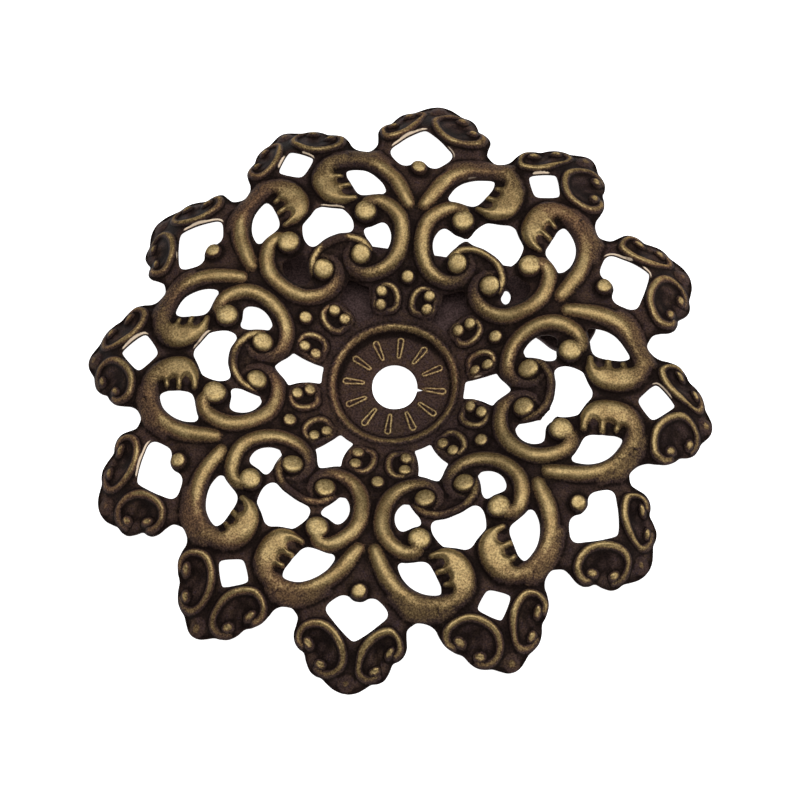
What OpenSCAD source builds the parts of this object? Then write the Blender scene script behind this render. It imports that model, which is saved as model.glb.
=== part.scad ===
// Openwork flower stamping: one sheet of brass, pressed into a shallow wavy dish, pierced right
// through and embossed with scrolls, leaves and beads. Twelve petals of two alternating kinds turn
// down round the edge, and the middle is a sunk disc with a plain round hole.
// The pattern is six equal sectors of 60 degrees. Each is a mirror image about its own middle line,
// so the tables below hold one half sector, from its middle line at 0 to the line between two
// sectors at 30 degrees. Lengths are mm, angles are degrees, +Z is up.
// The origin is the centre of the middle hole, on the plane that the petal tips rest on.

/* [Sheet] */
// Thickness of the pressed sheet
sheet_t = 0.35; // [0.3:0.01:0.4]
// Radius of the plain round hole in the middle
hole_r = 2.2; // [1.6:0.1:2.7]
// Straight steps that each row of a pierced outline is drawn with
wall_steps = 1; // [1:1:2]

/* [Scrolls and leaves] */
// Radius of the round tube of the big C-scrolls
scroll_tube_r = 0.62; // [0.54:0.01:0.64]
// Radius of the tube that sweeps out into each leaf
leaf_tube_r = 0.66; // [0.58:0.01:0.7]
// Radius of the broad rounded body of each leaf
leaf_body_r = 0.95; // [0.85:0.01:1.0]
// Radius of the fine raised line round an oval in the petals
petal_line_r = 0.3; // [0.24:0.01:0.34]
// Radius of the fine raised line round an oval beside the disc
oval_line_r = 0.2; // [0.16:0.01:0.24]

/* [Beads] */
// Radius of the bead that ends each C-scroll on the outside
outer_scroll_bead_r = 1.05; // [0.95:0.01:1.1]
// Radius of the bead in each small inner spiral
inner_scroll_bead_r = 0.95; // [0.85:0.01:1.0]
// Radius of the single beads between two sectors, near the petals
edge_bead_r = 0.78; // [0.7:0.01:0.85]
// Radius of the single beads between two sectors, near the disc
disc_bead_r = 0.55; // [0.45:0.01:0.6]
// Radius of the two beads in each petal oval
petal_bead_r = 0.72; // [0.65:0.01:0.78]
// Radius of the two beads in each oval beside the disc
oval_bead_r = 0.48; // [0.42:0.01:0.52]

/* [Back strip] */
// Thickness of the flat strip soldered behind
strip_t = 1.0; // [0.8:0.05:1.1]
// Height of the strip's upper face over the resting plane
strip_top = 1.45; // [1.4:0.05:1.75]
// Radius of the strip's round end
strip_end_r = 3.0; // [2.6:0.1:3.1]

/* [Hidden] */
$fn = 48;

SECTORS = 6;
SECTOR = 360 / SECTORS;
brass = [0.45, 0.38, 0.26];

// Upper face of the sheet from the middle outward. Columns: r from the centre, z height.
DISH = [
  [ 0.00, 1.45],  // sunk disc
  [ 5.20, 1.50],
  [ 5.80, 2.25],  // fine round ridge
  [ 6.30, 2.16],
  [12.90, 4.00],
  [16.80, 4.78],
  [19.50, 4.64],
  [23.80, 4.10],
  [25.90, 3.70],  // the petals turn down
  [27.40, 2.74],
  [29.20, 1.26],
  [31.60, -0.24]
];

// Pierced openings and edge, each from one end of its curve to the other. Columns: x outward
// along the named line, y across it.

// between the disc and two C-scrolls, on the sector's middle line
HOLE_INNER = [
  [ 7.12, 0.00], [ 7.10, 0.70], [ 7.27, 0.84], [ 8.05, 0.93], [ 9.00, 1.18], [ 9.78, 1.52],
  [ 9.95, 1.35], [10.35, 0.93], [10.85, 0.50], [11.20, 0.00]
];
// inside a C-scroll, closed
HOLE_SCROLL = [
  [12.18, 3.98], [12.50, 4.72], [13.15, 5.27], [14.05, 5.53], [14.78, 5.37], [15.10, 4.90],
  [15.08, 4.20], [15.15, 3.40], [14.90, 3.07], [14.30, 3.04], [13.40, 3.27], [12.60, 3.40],
  [12.25, 3.62]
];
// between two leaves and two C-scrolls, on the middle line
HOLE_MIDDLE = [
  [15.50, 0.00], [15.45, 0.80], [15.22, 1.75], [15.30, 2.25], [15.68, 2.52], [16.40, 2.60],
  [17.20, 2.47], [17.85, 2.15], [18.30, 1.45], [18.80, 0.66], [19.04, 0.00]
];
// inside the curve of a leaf, closed
HOLE_LEAF = [
  [17.68, 6.48], [17.88, 6.85], [18.60, 6.97], [19.50, 6.82], [20.40, 6.40], [21.10, 5.80],
  [21.64, 5.00], [21.87, 4.27], [21.68, 3.94], [21.00, 3.82], [19.90, 3.86], [18.98, 3.95],
  [18.42, 4.30], [18.14, 4.95], [17.90, 5.75]
];
// small kite in the petal on the middle line
HOLE_KITE = [
  [22.98, 0.00], [23.16, 0.45], [23.68, 1.15], [24.15, 1.62], [24.42, 1.74], [24.72, 1.62],
  [25.30, 1.18], [25.95, 0.52], [26.28, 0.00]
];
// heart in the petal on the line between two sectors, measured along that line
HOLE_HEART = [
  [22.50, 0.00], [22.40, 0.45], [22.14, 0.90], [22.08, 1.40], [22.22, 1.90], [22.62, 2.47],
  [23.15, 2.96], [23.62, 3.08], [24.00, 2.88], [24.52, 2.36], [25.12, 1.73], [25.70, 1.02],
  [26.12, 0.42], [26.28, 0.00]
];
// outer edge from the tip of the middle petal to the notch beside it
EDGE_MIDDLE = [
  [30.20, 0.00], [30.08, 0.58], [29.72, 1.18], [29.32, 1.72], [29.16, 2.35], [28.80, 2.98],
  [28.20, 3.52], [27.45, 3.86], [26.95, 4.50], [26.25, 5.02], [25.42, 5.16], [24.60, 5.22],
  [23.88, 5.74], [23.46, 6.42]
];
// outer edge from that notch to the tip of the petal on the line between two sectors
EDGE_BETWEEN = [
  [23.86, 5.70], [24.42, 5.36], [25.15, 5.42], [25.92, 5.58], [26.60, 5.36], [27.08, 4.90],
  [27.36, 4.36], [28.16, 4.10], [28.85, 3.66], [29.22, 3.08], [29.40, 2.42], [29.86, 1.84],
  [30.28, 1.20], [30.50, 0.50], [30.55, 0.00]
];

// Tubes as arcs, drawn in the half sector. Columns: x, y of the arc's centre, R of the arc,
// a, b start and end angle, sunk how far its axis lies under the upper face.
SCROLL_ARC = [14.00, 3.45, 3.30,  14, 216, 0.10];
CURL_ARC   = [12.55, 2.40, 1.50, 205, 292, 0.08];
SWEEP_ARC  = [18.60, 3.62, 4.60,   2,  92, 0.14];
LEAF_ARC   = [20.88, 3.42, 1.78, 178, 357, 0.36];
WEB_ARC    = [12.20, 0.00, 3.05, -68,  68, 0.05];
// straight start of the leaf's sweep, from its round end to the arc. Columns: x, y
SWEEP_START = [[15.75, 8.10], [18.75, 8.22]];

// Rings of fine raised line, drawn in the half sector. Columns: x, y of the centre, R
PETAL_RING = [26.80, 2.82, 1.72];
OVAL_RING  = [ 8.24, 2.66, 1.15];

// Beads. Columns: x, y, sunk how far the bead's centre lies under the upper face
PETAL_BEADS = [[26.42, 4.05, 0.30], [28.32, 2.36, 0.30]];
OVAL_BEADS  = [[ 7.76, 1.92, 0.12], [ 8.88, 2.44, 0.12]];
SCROLL_BEAD = [16.38, 3.98, 0.28];
CURL_BEAD   = [12.88, 1.86, 0.24];
EDGE_BEAD_AT = 21.66;
DISC_BEAD_AT = 10.58;

// Short ribs on the sunk disc. Columns: r where a rib starts and ends, its own radius
RIB = [3.05, 4.45, 0.22];
RIBS = 12;

// Flat strip behind, its straight edge about square to the petal's line at 90 degrees, one row for
// each corner. Columns: x, y
STRIP = [
  [-6.4, 14.45], [-8.6, 14.0], [-10.4, 13.35], [-12.6, 12.1], [-13.9, 11.0], [-13.9, 8.6],
  [-12.4, 7.0], [-6.0, 4.8], [6.0, 4.8], [11.5, 7.2], [13.0, 6.8], [14.7, 5.6], [15.6, 5.6],
  [15.6, 11.2], [17.8, 11.6], [18.3, 12.6], [18.2, 13.6], [17.5, 14.5], [16.6, 14.8],
  [15.8, 14.62], [15.2, 14.1], [14.9, 13.7], [14.7, 13.4]
];
// centre of its round end. Columns: x, y
STRIP_END = [15.6, 8.4];
// small round hole in the strip. Columns: x, y, r
STRIP_HOLE = [9.45, 10.5, 0.6];

RIM_R = DISH[len(DISH) - 1][0];

// height of the upper face at a point of the plan
function face_z(p) = lookup(norm(p), DISH);

// a smooth run through the rows of a table, straight where wall_steps is 1
function through(a, b, c, d, t) =
  0.5 * ((2 * b) + (c - a) * t + (2 * a - 5 * b + 4 * c - d) * t * t
  + (3 * b - a - 3 * c + d) * t * t * t);
function smooth_open(t) = concat(
  [for (i = [0 : len(t) - 2]) for (s = [0 : wall_steps - 1])
    through(t[max(i - 1, 0)], t[i], t[i + 1], t[min(i + 2, len(t) - 1)], s / wall_steps)],
  [t[len(t) - 1]]);
function smooth_closed(t) =
  [for (i = [0 : len(t) - 1]) for (s = [0 : wall_steps - 1])
    through(t[(i + len(t) - 1) % len(t)], t[i], t[(i + 1) % len(t)], t[(i + 2) % len(t)],
      s / wall_steps)];
// a curve that starts and ends on its line, closed by its own mirror image
function both_sides(t) = concat(t, [for (i = [len(t) - 2 : -1 : 1]) [t[i].x, -t[i].y]]);
function turned(p, a) = [p.x * cos(a) - p.y * sin(a), p.x * sin(a) + p.y * cos(a)];

half_edge = concat(smooth_open(EDGE_MIDDLE),
  [for (p = smooth_open(EDGE_BETWEEN)) turned([p.x, -p.y], SECTOR / 2)]);
// one sector of the edge runs from its far line, past the middle petal, to its near line
sector_edge = concat(
  [for (i = [len(half_edge) - 2 : -1 : 1]) [half_edge[i].x, -half_edge[i].y]],
  [for (i = [0 : len(half_edge) - 1]) half_edge[i]]);

// angle of the dish's profile just after a row, level at the middle
function rise(i) = let (k = min(max(i, 0), len(DISH) - 2))
  i < 0 ? 0 : atan((DISH[k + 1][1] - DISH[k][1]) / (DISH[k + 1][0] - DISH[k][0]));
// the point at a depth square to the profile under a row, mitred between its two runs
function under(i, depth) =
  let (mean = (rise(i - 1) + rise(i)) / 2, half = (rise(i) - rise(i - 1)) / 2, d = depth / cos(half))
  i == 0 ? [0, DISH[0][1] - depth] : [DISH[i][0] + d * sin(mean), DISH[i][1] - d * cos(mean)];

// the sheet as one turned dish whose faces stay sheet_t apart
module dish() {
  rotate_extrude($fn = 96)
    polygon(concat(
      [for (row = DISH) [row[0], row[1]]],
      [for (i = [len(DISH) - 1 : -1 : 0]) under(i, sheet_t)]));
}

// everything under the middle of the sheet's thickness, which trims the relief from below
module below_sheet() {
  rotate_extrude($fn = 96)
    polygon(concat(
      [for (row = DISH) [row[0], row[1] - sheet_t / 2]],
      [[RIM_R, -6], [0, -6]]));
}

module edge_outline() {
  polygon([for (k = [0 : SECTORS - 1]) for (p = sector_edge) turned(p, k * SECTOR)]);
}

module openings() {
  for (k = [0 : SECTORS - 1]) rotate(k * SECTOR) {
    polygon(both_sides(smooth_open(HOLE_INNER)));
    polygon(both_sides(smooth_open(HOLE_MIDDLE)));
    polygon(both_sides(smooth_open(HOLE_KITE)));
    rotate(SECTOR / 2) polygon(both_sides(smooth_open(HOLE_HEART)));
    for (side = [0, 1]) mirror([0, side, 0]) {
      polygon(smooth_closed(HOLE_SCROLL));
      polygon(smooth_closed(HOLE_LEAF));
    }
  }
}

// slopes of the plane through three points that lie on the upper face
function plane_of(p, q, s) =
  let (u = q - p, v = s - p, du = face_z(q) - face_z(p), dv = face_z(s) - face_z(p),
    det = u.x * v.y - u.y * v.x)
  [(du * v.y - dv * u.y) / det, (u.x * dv - v.x * du) / det];
function on_arc(arc, angle) = [arc[0] + arc[2] * cos(angle), arc[1] + arc[2] * sin(angle)];

// lays its children on the plane with slopes g, through the height z at the point c
module laid(c, z, g) {
  translate([c.x, c.y, z]) rotate(a = atan(norm(g)), v = [g.y, -g.x, 0]) children();
}

// part of a round tube bent to an arc, tipped to lie along the dish
module tube_arc(arc, r) {
  first = on_arc(arc, arc[3]);
  half = on_arc(arc, (arc[3] + arc[4]) / 2);
  last = on_arc(arc, arc[4]);
  g = plane_of(first, half, last);
  centre = [arc[0], arc[1]];
  laid(centre, face_z(half) + g * (centre - half) - arc[5], g)
    rotate(arc[3]) rotate_extrude(angle = arc[4] - arc[3]) translate([arc[2], 0]) circle(r);
}

// a whole ring of fine raised line, tipped the same way
module line_ring(ring, r) {
  corners = [for (a = [60, 180, 300]) [ring[0] + ring[2] * cos(a), ring[1] + ring[2] * sin(a)]];
  g = plane_of(corners[0], corners[1], corners[2]);
  centre = [ring[0], ring[1]];
  laid(centre, face_z(corners[0]) + g * (centre - corners[0]) - 0.02, g)
    rotate_extrude() translate([ring[2], 0]) circle(r);
}

// rounds off one end of a tube, a little prouder than the tube
module tube_end(arc, angle, r) {
  p = on_arc(arc, angle);
  translate([p.x, p.y, face_z(p) - arc[5]]) sphere(r + 0.03);
}

module bead(at, r) {
  translate([at.x, at.y, face_z([at.x, at.y]) - at[2]]) sphere(r);
}

// a straight round bar between two points of the plan, lying on the upper face
module bar(p, q, r, sunk) {
  from = [p.x, p.y, face_z(p) - sunk];
  to = [q.x, q.y, face_z(q) - sunk];
  way = to - from;
  translate(from) rotate([0, acos(way.z / norm(way)), atan2(way.y, way.x)])
    cylinder(h = norm(way), r = r);
}

// relief of one side of a sector
module half_relief() {
  tube_arc(SCROLL_ARC, scroll_tube_r);
  tube_arc(CURL_ARC, scroll_tube_r - 0.1);
  tube_arc(SWEEP_ARC, leaf_tube_r);
  tube_arc(LEAF_ARC, leaf_body_r);
  bar(SWEEP_START[0], SWEEP_START[1], leaf_tube_r - 0.04, 0.14);
  bead([SWEEP_START[0].x, SWEEP_START[0].y, 0.14], leaf_tube_r - 0.03);
  tube_end(SCROLL_ARC, SCROLL_ARC[3], scroll_tube_r);
  tube_end(LEAF_ARC, LEAF_ARC[3], leaf_body_r);
  bead(SCROLL_BEAD, outer_scroll_bead_r);
  bead(CURL_BEAD, inner_scroll_bead_r);
  line_ring(OVAL_RING, oval_line_r);
  for (b = OVAL_BEADS) bead(b, oval_bead_r);
}

module petal_relief() {
  for (side = [0, 1]) mirror([0, side, 0]) {
    line_ring(PETAL_RING, petal_line_r);
    for (b = PETAL_BEADS) bead(b, petal_bead_r);
  }
}

module sector_relief() {
  for (side = [0, 1]) mirror([0, side, 0]) half_relief();
  tube_arc(WEB_ARC, 0.24);
  petal_relief();
  rotate(SECTOR / 2) {
    petal_relief();
    bead([EDGE_BEAD_AT, 0, 0.16], edge_bead_r);
    bead([DISC_BEAD_AT, 0, 0.16], disc_bead_r);
  }
}

module ribs() {
  for (k = [0 : RIBS - 1]) rotate(k * 360 / RIBS)
    bar([RIB[0], 0], [RIB[1], 0], RIB[2], 0.06);
}

// plain flat strip with one round end
module strip() {
  translate([0, 0, strip_top - strip_t]) difference() {
    linear_extrude(strip_t) union() {
      polygon(STRIP);
      translate(STRIP_END) circle(strip_end_r);
    }
    translate([STRIP_HOLE[0], STRIP_HOLE[1], -1]) cylinder(h = strip_t + 2, r = STRIP_HOLE[2]);
  }
}

module flower_stamping() {
  color(brass) {
    difference() {
      union() {
        intersection() {
          dish();
          translate([0, 0, -1]) linear_extrude(8) edge_outline();
        }
        for (k = [0 : SECTORS - 1]) rotate(k * SECTOR)
          difference() {
            sector_relief();
            below_sheet();
          }
        ribs();
      }
      translate([0, 0, -1]) linear_extrude(8) openings();
      translate([0, 0, -1]) cylinder(h = 8, r = hole_r, $fn = 96);
    }
    strip();
  }
}

flower_stamping();
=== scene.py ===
"""Openwork flower stamping with its back strip, built in plan and pressed into relief.

The pattern is six units of 60 degrees, each a mirror image about its own line, so the tables hold
one half unit, from its line at 0 to the line between two units at 30 degrees. Plan lengths are mm.
"""

import math
import bpy
import numpy as np
from mathutils import Matrix, Vector, geometry, kdtree


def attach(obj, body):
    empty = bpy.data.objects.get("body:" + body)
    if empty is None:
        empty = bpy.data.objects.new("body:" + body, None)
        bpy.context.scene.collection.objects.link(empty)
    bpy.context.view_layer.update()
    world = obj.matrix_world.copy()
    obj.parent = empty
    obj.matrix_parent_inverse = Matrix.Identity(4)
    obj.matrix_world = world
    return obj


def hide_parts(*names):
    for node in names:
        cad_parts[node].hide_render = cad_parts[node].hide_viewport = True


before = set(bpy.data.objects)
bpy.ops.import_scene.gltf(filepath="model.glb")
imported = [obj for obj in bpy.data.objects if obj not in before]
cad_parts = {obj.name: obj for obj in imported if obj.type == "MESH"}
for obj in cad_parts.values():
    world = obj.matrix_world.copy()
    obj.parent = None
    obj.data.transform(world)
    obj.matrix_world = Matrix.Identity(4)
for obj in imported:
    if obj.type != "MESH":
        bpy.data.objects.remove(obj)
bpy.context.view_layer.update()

MM = 0.001
UNITS = 6
THIRTY = math.radians(30)
SHEET = 0.34  # thickness of the pressed sheet

# ---------------------------------------------------------------------------------------------
# Tables of the pattern
# ---------------------------------------------------------------------------------------------

# Upper face of the bare sheet. Columns: r from the centre, z height
DISH = [
    (0.0, 1.45), (4.6, 1.46), (5.4, 1.62), (6.1, 2.05), (7.1, 2.44), (9.1, 2.97), (10.6, 3.32),
    (12.9, 4.00), (14.6, 4.48), (16.6, 4.74), (19.0, 4.68), (21.2, 4.38), (22.8, 4.18),
    (24.0, 4.06), (24.9, 3.93), (25.8, 3.72), (26.6, 3.36), (27.4, 2.75), (28.2, 2.04),
    (29.0, 1.38), (29.8, 0.84), (30.55, 0.42), (31.6, -0.10),
]

# Pierced openings and edge. Columns: x outward along the named line, y across it
HOLE_INNER = [
    (7.12, 0.00), (7.10, 0.70), (7.27, 0.84), (8.05, 0.93), (9.00, 1.18), (9.80, 1.52),
    (9.97, 1.38), (10.35, 0.95), (10.88, 0.48), (11.22, 0.00),
]
HOLE_SCROLL = [
    (12.18, 3.98), (12.45, 4.62), (12.95, 5.14), (13.55, 5.44), (14.15, 5.52), (14.72, 5.42),
    (15.05, 5.10), (15.10, 4.60), (15.08, 4.00), (15.16, 3.42), (14.92, 3.09), (14.30, 3.04),
    (13.70, 3.20), (13.05, 3.33), (12.50, 3.40), (12.36, 3.58),
]
HOLE_MIDDLE = [
    (15.50, 0.00), (15.46, 0.80), (15.30, 1.40), (15.20, 1.90), (15.36, 2.28), (15.74, 2.52),
    (16.35, 2.62), (17.10, 2.50), (17.82, 2.22), (18.12, 1.80), (18.50, 1.10), (18.95, 0.42),
    (19.04, 0.00),
]
HOLE_LEAF = [
    (17.62, 6.46), (17.80, 6.84), (18.30, 6.96), (19.05, 6.94), (19.80, 6.72), (20.50, 6.34),
    (21.10, 5.82), (21.58, 5.12), (21.87, 4.42), (21.78, 4.05), (21.20, 3.82), (20.50, 3.82),
    (19.70, 3.86), (18.95, 3.96), (18.48, 4.24), (18.22, 4.72), (18.02, 5.40), (17.82, 6.00),
]
HOLE_KITE = [
    (22.98, 0.00), (23.12, 0.40), (23.62, 1.08), (24.08, 1.58), (24.40, 1.76), (24.76, 1.62),
    (25.32, 1.14), (25.92, 0.54), (26.22, 0.16), (26.28, 0.00),
]
HOLE_HEART = [
    (22.60, 0.00), (22.50, 0.50), (22.16, 0.98), (22.06, 1.45), (22.20, 1.92), (22.62, 2.47),
    (23.10, 2.92), (23.56, 3.06), (24.00, 2.88), (24.52, 2.36), (25.12, 1.73), (25.70, 1.02),
    (26.12, 0.42), (26.28, 0.00),
]
EDGE_MIDDLE = [
    (30.20, 0.00), (30.08, 0.62), (29.72, 1.20), (29.34, 1.74), (29.14, 2.35), (28.80, 2.98),
    (28.20, 3.48), (27.50, 3.82), (27.02, 4.42), (26.32, 4.96), (25.46, 5.16), (24.66, 5.24),
    (24.00, 5.62), (23.50, 6.38),
]
EDGE_BETWEEN = [
    (23.86, 5.74), (24.42, 5.34), (25.12, 5.38), (25.92, 5.52), (26.60, 5.34), (27.08, 4.90),
    (27.42, 4.34), (28.12, 4.06), (28.82, 3.66), (29.22, 3.08), (29.42, 2.42), (29.84, 1.84),
    (30.26, 1.20), (30.50, 0.50), (30.55, 0.00),
]

# Raised lines. Columns: x, y, half width at the foot, half width of the worn top, height, wear
SCROLL = [
    (17.05, 4.20, 0.74, 0.40, 0.78, 1.0), (17.34, 4.76, 0.80, 0.40, 0.74, 1.0),
    (17.30, 5.32, 0.84, 0.38, 0.70, 1.0),
    (16.98, 5.86, 0.86, 0.38, 0.66, 0.95), (16.28, 6.36, 0.92, 0.42, 0.72, 1.0),
    (15.35, 6.72, 0.94, 0.44, 0.76, 1.0), (14.40, 6.80, 0.94, 0.44, 0.76, 1.0),
    (13.40, 6.56, 0.94, 0.42, 0.76, 1.0), (12.45, 6.06, 0.94, 0.42, 0.74, 1.0),
    (11.62, 5.36, 0.92, 0.38, 0.74, 1.0), (11.02, 4.50, 0.90, 0.36, 0.72, 0.92),
    (10.72, 3.52, 0.88, 0.34, 0.72, 0.80), (10.72, 2.54, 0.86, 0.30, 0.70, 0.64),
    (10.98, 1.72, 0.84, 0.24, 0.66, 0.55), (11.42, 1.12, 0.80, 0.16, 0.62, 0.40),
    (12.05, 0.74, 0.74, 0.08, 0.54, 0.25), (12.85, 0.62, 0.62, 0.04, 0.44, 0.18),
    (13.58, 0.88, 0.50, 0.04, 0.34, 0.25), (14.00, 1.40, 0.40, 0.04, 0.20, 0.20),
]
SHOULDER = [
    (20.60, 8.05, 0.90, 0.30, 0.55, 0.40), (21.55, 7.50, 0.95, 0.40, 0.58, 0.42),
    (22.30, 6.80, 1.00, 0.50, 0.58, 0.45), (22.92, 5.90, 1.00, 0.50, 0.58, 0.45),
    (23.34, 4.90, 1.00, 0.45, 0.56, 0.42), (23.52, 3.90, 0.95, 0.40, 0.56, 0.40),
]
SWEEP = [
    (15.74, 8.20, 0.72, 0.38, 0.62, 0.9), (16.30, 8.20, 0.84, 0.44, 0.70, 1.0),
    (17.30, 8.20, 0.92, 0.46, 0.76, 1.0), (18.40, 8.16, 0.98, 0.46, 0.80, 1.0),
    (19.30, 7.98, 1.00, 0.42, 0.80, 0.94), (20.20, 7.64, 1.02, 0.38, 0.80, 0.84),
    (21.02, 7.12, 1.04, 0.38, 0.80, 0.74), (21.74, 6.48, 1.04, 0.38, 0.80, 0.62),
    (22.28, 5.70, 1.02, 0.40, 0.80, 0.54), (22.66, 4.82, 1.00, 0.42, 0.80, 0.52),
    (22.88, 3.92, 0.98, 0.44, 0.80, 0.54), (22.88, 3.00, 0.98, 0.48, 0.80, 0.56),
    (22.50, 2.20, 1.00, 0.50, 0.80, 0.58),
]
PETAL = [
    (26.90, 4.60, 0.38, 0.05, 0.42, 0.55), (26.52, 4.92, 0.42, 0.08, 0.50, 0.70),
    (25.98, 4.94, 0.44, 0.10, 0.56, 0.75), (25.44, 4.64, 0.46, 0.12, 0.60, 0.80),
    (25.12, 4.08, 0.48, 0.14, 0.62, 0.85), (25.02, 3.40, 0.48, 0.16, 0.64, 0.90),
    (25.18, 2.72, 0.48, 0.17, 0.66, 1.0), (25.58, 2.05, 0.48, 0.17, 0.66, 1.0),
    (26.10, 1.50, 0.48, 0.17, 0.66, 1.0), (26.75, 1.06, 0.48, 0.16, 0.64, 1.0),
    (27.45, 0.80, 0.46, 0.12, 0.60, 0.85), (28.12, 0.76, 0.44, 0.10, 0.56, 0.75),
    (28.70, 0.96, 0.42, 0.09, 0.52, 0.70), (29.06, 1.42, 0.40, 0.08, 0.50, 0.65),
    (29.16, 2.00, 0.38, 0.06, 0.46, 0.55), (29.02, 2.62, 0.34, 0.04, 0.40, 0.45),
    (28.72, 3.12, 0.30, 0.03, 0.32, 0.35),
]
OVAL = [
    (7.06, 2.20, 0.34, 0.03, 0.24, 0.35), (6.90, 2.70, 0.36, 0.05, 0.28, 0.55),
    (7.02, 3.08, 0.38, 0.07, 0.32, 0.62), (7.36, 3.42, 0.38, 0.09, 0.34, 0.74),
    (7.84, 3.66, 0.40, 0.10, 0.36, 0.82), (8.40, 3.74, 0.40, 0.10, 0.36, 0.82),
    (8.92, 3.60, 0.38, 0.09, 0.34, 0.82), (9.26, 3.26, 0.36, 0.07, 0.32, 0.66),
    (9.44, 2.80, 0.34, 0.04, 0.26, 0.45),
]
OVAL_LOW = [
    (7.06, 2.20, 0.34, 0.02, 0.22, 0.22), (7.14, 1.72, 0.32, 0.02, 0.20, 0.22),
    (7.48, 1.34, 0.30, 0.02, 0.20, 0.25), (7.98, 1.26, 0.30, 0.03, 0.20, 0.45),
    (8.44, 1.52, 0.30, 0.02, 0.18, 0.25), (8.92, 1.76, 0.30, 0.02, 0.18, 0.20),
    (9.36, 2.06, 0.32, 0.02, 0.20, 0.20), (9.50, 2.50, 0.34, 0.02, 0.24, 0.22),
]
WEB = [
    (12.90, 3.02, 0.38, 0.08, 0.20, 0.50), (13.36, 2.88, 0.40, 0.13, 0.28, 0.85),
    (13.90, 2.60, 0.42, 0.16, 0.34, 1.00), (14.40, 2.14, 0.42, 0.16, 0.36, 1.00),
    (14.78, 1.54, 0.42, 0.15, 0.36, 1.00), (15.00, 0.90, 0.40, 0.13, 0.34, 0.90),
    (15.08, 0.00, 0.38, 0.11, 0.32, 0.80), (15.00, -0.90, 0.40, 0.13, 0.34, 0.90),
]
# Wear of that line in each unit: round its middle and near its ends
WEB_WEAR = [(0.40, 0.50), (1.0, 1.0), (0.12, 0.95), (0.60, 1.0), (0.12, 0.60), (0.40, 0.60)]
# Wear where the C-scroll runs into its large bead, in each unit: left and right of its line
JOINT_AT = (17.30, 4.90)
JOINT_WEAR = [(0.50, 0.50), (0.50, 0.45), (1.0, 0.35), (0.60, 0.55), (0.95, 0.85), (0.55, 0.55)]

# Beads with flat worn tops. Columns: x, y, radius at the foot, radius of the worn top, height, wear
BEADS = [
    (16.47, 4.00, 1.18, 1.04, 0.86, 0.92),
    (12.76, 1.93, 1.06, 0.93, 0.82, 1.0),
    (7.75, 1.86, 0.62, 0.50, 0.46, 0.74),
    (8.88, 2.44, 0.62, 0.50, 0.48, 1.0),
]
PETAL_TIP = (29.80, 0.00, 0.80, 0.34, 0.32)
PETAL_ENDS = [  # short beads at the two ends of the line, with its columns
    [(26.60, 4.14, 0.46, 0.10, 0.54, 0.9), (26.76, 3.98, 0.52, 0.18, 0.64, 1.0), (26.92, 3.80, 0.46, 0.10, 0.54, 0.9)],
    [(28.34, 2.84, 0.46, 0.10, 0.54, 0.9), (28.46, 2.66, 0.52, 0.18, 0.64, 1.0), (28.56, 2.46, 0.46, 0.10, 0.54, 0.9)],
]
LINE_BEADS = [  # on the line between two units
    (10.56, 0.00, 0.70, 0.56, 0.52, 1.0),
    (21.84, 0.00, 0.84, 0.64, 0.74, 1.0),
]

# Broad body of a leaf: its outer side, then its inner side round the teeth. Columns: x, y
LEAF_OUT = [
    (22.44, 4.60), (24.06, 4.60), (24.08, 3.60), (23.92, 2.60), (23.46, 1.60), (22.66, 0.84),
    (21.62, 0.42), (20.55, 0.32), (19.60, 0.50), (18.80, 0.98), (18.22, 1.70), (17.94, 2.50),
    (17.98, 3.20), (18.16, 3.74), (18.40, 3.98),
]
LEAF_IN = [
    (18.40, 3.98), (18.66, 3.72), (18.78, 3.25), (18.98, 2.90), (19.30, 2.70), (19.60, 2.86),
    (19.74, 3.24), (19.82, 3.74), (19.98, 3.88), (20.12, 3.64), (20.20, 3.22), (20.42, 2.92),
    (20.74, 2.82), (21.00, 2.98), (21.12, 3.26), (21.24, 3.56), (21.38, 3.46), (21.54, 3.24),
    (21.82, 3.12), (22.12, 3.24), (22.32, 3.56), (22.40, 4.00), (22.36, 4.60),
]
# Crests of the teeth, with the columns of the raised lines
TEETH = [
    [(18.86, 2.20, 0.50, 0.24, 0.76, 1), (18.48, 2.95, 0.46, 0.22, 0.76, 1), (18.36, 3.60, 0.36, 0.12, 0.60, 1)],
    [(20.20, 2.50, 0.40, 0.10, 0.62, 0.6), (20.06, 3.05, 0.38, 0.15, 0.64, 1), (19.96, 3.62, 0.34, 0.12, 0.56, 1)],
    [(21.56, 2.75, 0.38, 0.10, 0.60, 0.6), (21.40, 3.05, 0.36, 0.13, 0.60, 1), (21.26, 3.42, 0.32, 0.09, 0.50, 1)],
]

RING = (5.86, 0.46, 0.14, 0.32, 0.66)  # r, half width at the foot, worn half width, height, wear
RIB = (3.05, 4.66, 0.15, 0.28)  # r where a rib starts and ends, half spacing of its two lines there
HOLE_R = 2.20
HOLE_LONG = (106, 0.10)  # the worn hole is a little longer one way: angle, how much
NICK = (-1.0, 0.70)  # a small tear at the centre hole: angle, length

# Strip behind: corners, round end and hole
STRIP = [
    (-6.4, 14.45), (-8.6, 14.0), (-10.4, 13.35), (-12.6, 12.1), (-13.9, 11.0), (-13.9, 8.6),
    (-12.4, 7.0), (-6.0, 4.8), (6.0, 4.8), (11.5, 7.2), (13.0, 6.8), (14.4, 5.75), (15.6, 5.42),
    (17.7, 6.3), (18.58, 8.4), (17.6, 10.6), (17.7, 11.6), (18.3, 12.6), (18.2, 13.6),
    (17.5, 14.5), (16.6, 14.8), (15.8, 14.62), (15.2, 14.1), (14.9, 13.7), (14.7, 13.4),
]
STRIP_HOLE = (9.45, 10.5, 0.50, 0.90, 97)  # x, y, half width, half length, angle of its length
STRIP_Z = (0.49, 1.43)

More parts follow.
